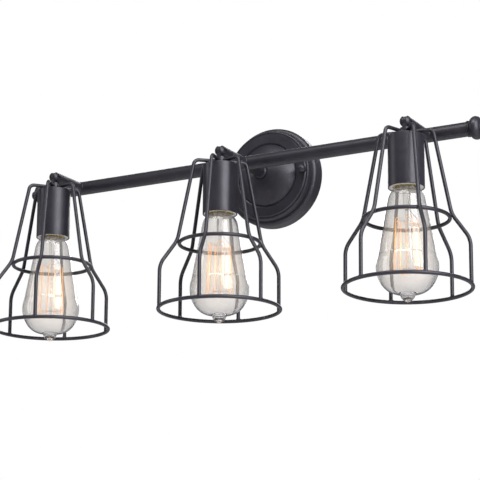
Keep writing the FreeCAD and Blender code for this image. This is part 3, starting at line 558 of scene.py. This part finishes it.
def add_lamp_cap(side):
    """Edison lamp cap: centre contact, glass insulator, cone and a rolled helical thread."""
    radius, top, bottom = reach("bulb_base_" + side, side)
    segments = 72
    thread_top = top + 5.0
    thread_end = bottom - 1.2
    thread, rows = threaded_rows(radius, CAP_THREAD_DEPTH, thread_top, thread_end, segments)
    contact = corner_arc((3.4, top + 0.8), 0.8, -90, 0, 4) + [(4.4, top + 1.1), (9.0, top + 2.3)]
    head = [(0.0, top)] + contact + [(radius - 0.6, thread_top - 0.5), (radius, thread_top)]
    skirt_inside, floor = radius - 1.05, bottom - 5.6
    skirt = [(radius, thread_end), (radius, bottom - 0.3), (radius - 0.3, bottom)]
    skirt += [(skirt_inside, bottom), (skirt_inside, floor), (0.0, floor)]
    parts = [lathe(head, segments, closed=False), (thread, ring_faces(rows, segments))]
    parts.append(lathe(skirt, segments, closed=False))
    vertices, faces = joined(parts)
    corners = moved(vertices, HEADS[side])
    cap = make_piece("threaded_cap_" + side, corners, faces, FINISHES["lamp_cap"])
    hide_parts("bulb_base_" + side)
    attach(cap, "lamp_" + side)


def filament_ends(side):
    """Ring radii of the filament's top and bottom and their heights, from its CAD wires."""
    points = head_points("filament_" + side, side)
    radius = np.hypot(points[:, 0], points[:, 1])
    top, bottom = points[:, 2].min(), points[:, 2].max()
    upper = radius[points[:, 2] < top + 0.6].max()
    lower = radius[points[:, 2] > bottom - 0.6].max()
    return float(upper) - 0.3, float(lower) - 0.3, float(top) + 0.3, float(bottom) - 0.3


def filament_path(side):
    """One long wire up and down round the ring, with a small loop at each end of a pair of legs."""
    upper, lower, top, bottom = filament_ends(side)
    loop = 1.6
    points = []
    for leg in range(FILAMENT_LEGS):
        angle = 2 * math.pi * leg / FILAMENT_LEGS
        ends = [(upper, top + loop), (lower, bottom - loop)]
        if leg % 2:
            ends.reverse()
        (start_radius, start), (end_radius, end) = ends
        steps = 70
        for step in range(steps + 1):
            share = step / steps
            ring = start_radius + (end_radius - start_radius) * share
            height = start + (end - start) * share
            points.append((ring * math.cos(angle), ring * math.sin(angle), height))
        if leg < FILAMENT_LEGS - 1:
            bend = loop if end > start else -loop
            for step in range(1, 8):
                turn = angle + 2 * math.pi / FILAMENT_LEGS * step / 8
                height = end + bend * math.sin(math.pi * step / 8)
                points.append((end_radius * math.cos(turn), end_radius * math.sin(turn), height))
    return points


def add_filament(side):
    """Glowing zigzag wire, corrugated like a fine coil, its hooks and the two lead-in wires."""
    path = filament_path(side)
    radii = [0.38 if index % 2 else 0.30 for index in range(len(path))]
    vertices, faces = tube(path, radii, 6)
    corners = moved(vertices, HEADS[side])
    wire = make_piece("filament_coil_" + side, corners, faces, FINISHES["filament_wire"], 80)
    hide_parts("filament_" + side)
    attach(wire, "lamp_" + side)

    upper, lower, top, bottom = filament_ends(side)
    rod = 1.4
    hooks = []
    for pair in range(FILAMENT_LEGS - 1):
        low_end = pair % 2 == 0
        ring, height = (lower, bottom) if low_end else (upper, top)
        rise = -3.0 if low_end else 3.0
        angle = 2 * math.pi * (pair + 0.5) / FILAMENT_LEGS
        out = Vector((math.cos(angle), math.sin(angle), 0))
        path = []
        for step in range(9):
            share = step / 8
            reach_out = rod + (ring - rod) * share
            drop = rise * (1 - math.sin(share * math.pi / 2))
            path.append(out * reach_out + Vector((0, 0, height + drop)))
        hooks.append(tube(path, 0.16, 6))
    press = top - 12.0
    for leg in (0, FILAMENT_LEGS - 1):
        angle = 2 * math.pi * leg / FILAMENT_LEGS
        out = Vector((math.cos(angle), math.sin(angle), 0))
        foot = out * 2.0 + Vector((0, 0, press - 4.0))
        knee = out * 3.2 + Vector((0, 0, press + 3.0))
        end = out * upper + Vector((0, 0, top + 1.6))
        path = [foot.lerp(knee, step / 6) for step in range(6)]
        path += [knee.lerp(end, step / 8) for step in range(9)]
        hooks.append(tube(path, 0.28, 8))
    vertices, faces = joined(hooks)
    corners = moved(vertices, HEADS[side])
    hook_wires = make_piece("filament_hooks_" + side, corners, faces, SUPPORT_METAL, 60)
    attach(hook_wires, "lamp_" + side)


def add_weld_beads(side):
    """Small beads where the wires meet the two hoops and the collar."""
    rng = random.Random("weld " + side)
    start = first_wire_angle(side)
    rim_radius, rim_top, rim_bottom = reach("cage_hoop_rim_" + side, side)
    mid_radius, mid_top, mid_bottom = reach("cage_hoop_mid_" + side, side)
    wire = (rim_bottom - rim_top) / 2
    level = wire_top(side) + wire
    beads = []
    for index in range(WIRE_COUNT):
        angle = start + 2 * math.pi * index / WIRE_COUNT
        out = Vector((math.cos(angle), math.sin(angle), 0))
        along = Vector((-math.sin(angle), math.cos(angle), 0))
        axes = (along, out, Vector((0, 0, 1)))
        rim = out * (rim_radius - wire) + Vector((0, 0, rim_top + wire * 0.25))
        beads.append(blob(rim, axes, (wire * 1.5, wire * 0.99, wire * 0.85), rng))
        mid = out * (mid_radius + 0.1) + Vector((0, 0, (mid_top + mid_bottom) / 2))
        beads.append(blob(mid, axes, (wire * 1.15, wire * 0.6, wire * 0.95), rng))
        root = out * (COLLAR_RADIUS + 0.4) + Vector((0, 0, level))
        beads.append(blob(root, axes, (wire * 1.3, wire * 0.9, wire * 1.2), rng))
    vertices, faces = joined(beads)
    piece = make_piece("weld_beads_" + side, moved(vertices, HEADS[side]), faces, WELD_METAL, 60)
    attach(piece, "head_" + side)


# ------------------------------------------------------------------ pieces of the fixed part


def saddle(tube_radius, bar_radius, steps=64):
    """Loop where a tube along y meets a bar along x through the origin, on the -y side."""
    loop = []
    for step in range(steps):
        angle = 2 * math.pi * step / steps
        across, up = tube_radius * math.cos(angle), tube_radius * math.sin(angle)
        loop.append(Vector((across, -math.sqrt(bar_radius**2 - up**2), up)))
    return loop


def add_braze_fillets():
    """Thin brazed fillets where the arms and the stem meet the bar."""
    low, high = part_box("bar_tube")
    axis_y = (low.y + high.y) / 2
    bar_radius = (high.y - low.y) / 2
    clear, bead_radius = 0.0001, 0.00075
    loops = []
    for side in SIDES:
        arm_low, arm_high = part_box("arm_" + side)
        arm_radius = (arm_high.x - arm_low.x) / 2
        centre = Vector(((arm_low.x + arm_high.x) / 2, axis_y, 0))
        loops.append([centre + p for p in saddle(arm_radius + clear, bar_radius)])
    arm_low, arm_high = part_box("arm_mid")
    stem_radius = (arm_high.x - arm_low.x) / 2
    behind = saddle(stem_radius + clear, bar_radius)
    loops.append([Vector((p.x, axis_y - p.y, p.z)) for p in behind])
    parts = [tube(loop, bead_radius, 8, closed=True) for loop in loops]
    vertices, faces = joined(parts)
    piece = make_piece("braze_fillets", vertices, faces, WELD_METAL, 60)
    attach(piece, "fixture")


def add_wire_connectors():
    """Two twist-on connectors, one facing up and one facing down, with moulded grip ribs."""
    low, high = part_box("wire_connectors")
    centre_y = (low.y + high.y) / 2
    radius = (high.x - low.x) / 2
    length = 0.020
    segments = 96
    parts = []
    for up in (-1, 1):
        mouth = high.z - length if up > 0 else low.z + length
        bore = radius * 0.53
        outline = [(bore, 0.0), (radius, 0.0), (radius, 0.0022), (radius * 0.93, 0.003)]
        for share in (0.2, 0.4, 0.6, 0.8, 1.0):
            outline.append((radius * (0.93 - 0.19 * share), 0.003 + 0.0138 * share))
        outline += [(radius * 0.6, 0.0192), (radius * 0.3, 0.01985), (0.0, length), (0.0, 0.011)]
        outline += [(bore, 0.011)]
        vertices, faces = lathe(outline, segments)
        shaped = []
        for x, y, z in vertices:
            grip = 0.003 < z < 0.0175 and math.hypot(x, y) > bore * 1.1
            ripple = 1 - 0.05 * (0.5 + 0.5 * math.cos(12 * math.atan2(y, x))) if grip else 1
            shaped.append(Vector((x * ripple, centre_y + y * ripple * up, mouth + z * up)))
        parts.append((shaped, faces))
    vertices, faces = joined(parts)
    piece = make_piece("connector_caps", vertices, faces, FINISHES["connector_shell"], 40)
    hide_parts("wire_connectors")
    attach(piece, "fixture")


# ------------------------------------------------------------------ room, lights and camera


VIEW_AZIMUTH = math.radians(28.6)
VIEW_ELEVATION = math.radians(-13.88)
VIEW_DISTANCE = 1.9922
AIM_ACROSS = -0.0435
AIM_UP = -0.0699
SENSOR_WIDTH = 36.0
LENS = 127.3


def direction(turn, lift):
    """Unit vector from the fixture outwards, turned round from the front and lifted, in radians."""
    flat = math.cos(lift)
    return Vector((math.sin(turn) * flat, -math.cos(turn) * flat, math.sin(lift)))


def view_axes():
    """Right, up and forward of the camera, from its azimuth and elevation."""
    right = Vector((math.cos(VIEW_AZIMUTH), math.sin(VIEW_AZIMUTH), 0))
    back = direction(VIEW_AZIMUTH, VIEW_ELEVATION)
    return right, back.cross(right), -back


def add_camera():
    right, up, forward = view_axes()
    camera = bpy.data.objects.new("camera", bpy.data.cameras.new("camera"))
    camera.data.sensor_width = SENSOR_WIDTH
    camera.data.lens = LENS
    camera.location = right * AIM_ACROSS + up * AIM_UP - forward * VIEW_DISTANCE
    camera.rotation_mode = "QUATERNION"
    camera.rotation_quaternion = Matrix((right, up, -forward)).transposed().to_quaternion()
    bpy.context.scene.collection.objects.link(camera)
    bpy.context.scene.camera = camera


def add_floor():
    """Large pale floor well below the fixture."""
    paint = Paint("pale_floor")
    tone = paint.spread(paint.noise(1.5, 2.0), 0.3, 0.7)
    paint.colour(paint.blend(tone, (0.84, 0.84, 0.84), (0.88, 0.88, 0.88)))
    paint.rough(paint.spread(paint.noise(6.0), 0.3, 0.7, 0.6, 0.75))
    half, height = 15.0, -1.0
    corners = [(x * half, y * half, height) for x, y in ((-1, -1), (1, -1), (1, 1), (-1, 1))]
    floor = make_piece("floor", corners, [[0, 1, 2, 3]], paint.material)


def add_softbox(name, azimuth, elevation, distance, size, power, colour=(1, 1, 1)):
    """Area light that faces the fixture from a direction round it."""
    back = direction(math.radians(azimuth), math.radians(elevation))
    light = bpy.data.objects.new(name, bpy.data.lights.new(name, "AREA"))
    light.data.shape = "RECTANGLE"
    light.data.size, light.data.size_y = size
    light.data.energy = power
    light.data.color = colour
    light.location = back * distance
    light.rotation_mode = "QUATERNION"
    light.rotation_quaternion = (-back).to_track_quat("-Z", "Y")
    light.visible_transmission = False
    bpy.context.scene.collection.objects.link(light)


def add_world():
    """White surroundings, and a dimmer studio for what glossy surfaces mirror."""
    world = bpy.data.worlds.new("studio")
    bpy.context.scene.world = world
    world.use_nodes = True
    nodes, links = world.node_tree.nodes, world.node_tree.links
    white = nodes["Background"]
    white.inputs["Color"].default_value = (1.0, 1.0, 1.0, 1.0)
    white.inputs["Strength"].default_value = 1.0
    dim = nodes.new("ShaderNodeBackground")
    dim.inputs["Color"].default_value = (0.93, 0.92, 1.0, 1.0)
    dim.inputs["Strength"].default_value = 0.22
    rays = nodes.new("ShaderNodeLightPath")
    seen = nodes.new("ShaderNodeMath")
    seen.operation = "MAXIMUM"
    links.new(rays.outputs["Is Camera Ray"], seen.inputs[0])
    links.new(rays.outputs["Is Transmission Ray"], seen.inputs[1])
    mirrored = nodes.new("ShaderNodeMath")
    mirrored.operation = "SUBTRACT"
    mirrored.inputs[0].default_value = 1.0
    links.new(seen.outputs["Value"], mirrored.inputs[1])
    mix = nodes.new("ShaderNodeMixShader")
    links.new(mirrored.outputs["Value"], mix.inputs["Fac"])
    links.new(white.outputs["Background"], mix.inputs[1])
    links.new(dim.outputs["Background"], mix.inputs[2])
    links.new(mix.outputs["Shader"], nodes["World Output"].inputs["Surface"])


def add_glow(side):
    """Warm light of the filament on the lamp's own glass. It moves with the lamp."""
    _, _, top, bottom = filament_ends(side)
    glow = bpy.data.objects.new("glow_" + side, bpy.data.lights.new("glow_" + side, "POINT"))
    glow.data.energy = 0.2
    glow.data.color = (1.0, 0.78, 0.52)
    glow.data.shadow_soft_size = 0.012
    glow.location = HEADS[side] @ Vector((0, 0, (top + bottom) / 2))
    glow.visible_glossy = False
    glow.visible_transmission = False
    bpy.context.scene.collection.objects.link(glow)
    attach(glow, "lamp_" + side)


def add_lights():
    add_softbox("key_right", 60, 14, 1.9, (1.3, 1.8), 62, (0.95, 0.94, 1.0))
    add_softbox("front_top", 10, 52, 2.0, (1.8, 0.7), 34)
    add_softbox("fill_left", -62, 8, 2.2, (0.8, 1.6), 12, (0.96, 0.96, 1.0))
    add_softbox("back_left", 200, 25, 2.2, (1.6, 1.0), 24)


finish_cad_nodes()
for side_name in SIDES:
    add_cup(side_name)
    add_screw_shell(side_name)
    add_lamp_cap(side_name)
    add_filament(side_name)
    add_weld_beads(side_name)
    add_glow(side_name)
add_braze_fillets()
add_wire_connectors()
add_world()
add_lights()
add_floor()
add_camera()
bpy.context.scene.view_settings.view_transform = "Standard"
